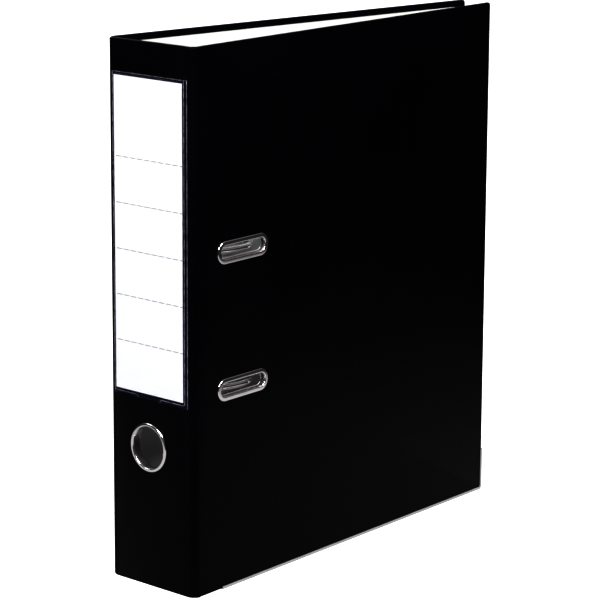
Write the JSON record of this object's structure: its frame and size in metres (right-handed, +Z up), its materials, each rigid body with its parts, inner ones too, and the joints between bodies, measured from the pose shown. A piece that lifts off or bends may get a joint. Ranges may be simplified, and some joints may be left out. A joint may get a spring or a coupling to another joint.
{
  "type": "lever arch file",
  "caption": "Upright black lever arch file for A4 paper: stiff covers, spine with clear label pocket and finger ring, slotted front cover and a lever-opened ring mechanism.",
  "frame": {"origin": "foot of the spine, in the middle of its width and of its thickness, on the surface the file stands on", "axes": "+Z up the standing file, +X from the spine to the fore edge, -Y towards the front cover"},
  "size_m": [0.2886, 0.0692, 0.318],
  "materials": {
    "covering": "black coated paper with a fine linen emboss",
    "greyboard": "unbleached greyboard",
    "lining": "white paper with a faint green cast",
    "rail": "satin plated steel",
    "chrome": "bright plated",
    "plate": "plated sheet steel",
    "film": "clear film",
    "label": "white card with pale ruled lines",
    "black_plastic": "satin black"
  },
  "bodies": {
    "back_cover": {"back_board": "greyboard", "back_skin": "covering", "back_lining": "lining", "back_edge_rail": "rail", "base_plate": "plate", "mechanism_rivets": "plate", "upper_post": "chrome", "lower_post": "chrome", "arch_springs": "plate", "lever_pin": "plate"},
    "spine": {"spine_board": "greyboard", "spine_skin": "covering", "spine_lining": "lining", "back_crease": "covering", "front_crease": "covering", "finger_ring": "chrome", "finger_ring_washer": "plate", "label_pocket": "film"},
    "front_cover": {"front_board": "greyboard", "front_skin": "covering", "front_lining": "lining", "front_edge_rail": "rail", "upper_slot_eyelet": "chrome", "lower_slot_eyelet": "chrome"},
    "arch": {"arch_wire": "chrome"},
    "lever": {"lever": "chrome", "roller_pin": "plate"},
    "roller": {"roller": "plate"},
    "compressor": {"compressor_bar": "black_plastic"},
    "label": {"label_card": "label"}
  },
  "joints": [
    {"name": "back_crease_fold", "type": "hinge", "parent": "back_cover", "child": "spine", "pos_m": [-0.00013, 0.03383, 0.159], "axis": [0, 0, -1], "range_deg": [0, 94.7]},
    {"name": "front_crease_fold", "type": "hinge", "parent": "spine", "child": "front_cover", "pos_m": [-0.00013, -0.03383, 0.159], "axis": [0, 0, -1], "range_deg": [0, 94.7]},
    {"name": "lever_pull", "type": "hinge", "parent": "back_cover", "child": "lever", "pos_m": [0.04489, 0.01543, 0.158], "axis": [0, 0, 1], "range_deg": [0, 65.7]},
    {"name": "arch_swing", "type": "hinge", "parent": "back_cover", "child": "arch", "pos_m": [0.03216, 0.02584, 0.158], "axis": [0, 0, -1], "range_deg": [0, 30.05]},
    {"name": "roller_spin", "type": "hinge", "parent": "lever", "child": "roller", "pos_m": [0.04154, 0.0195, 0.158], "axis": [0, 0, 1], "range_deg": [-180, 180]},
    {"name": "compressor_slide", "type": "slide", "parent": "back_cover", "child": "compressor", "axis": [-0.0819, -0.9966, 0], "range_m": [0, 0.023]},
    {"name": "label_slide", "type": "slide", "parent": "spine", "child": "label", "axis": [0, 0, 1], "range_m": [0, 0.18]}
  ],
  "couplings": [
    {"joint": "arch_swing", "follows": "lever_pull", "ratio": 0.4565},
    {"joint": "roller_spin", "follows": "lever_pull", "ratio": -0.652}
  ]
}
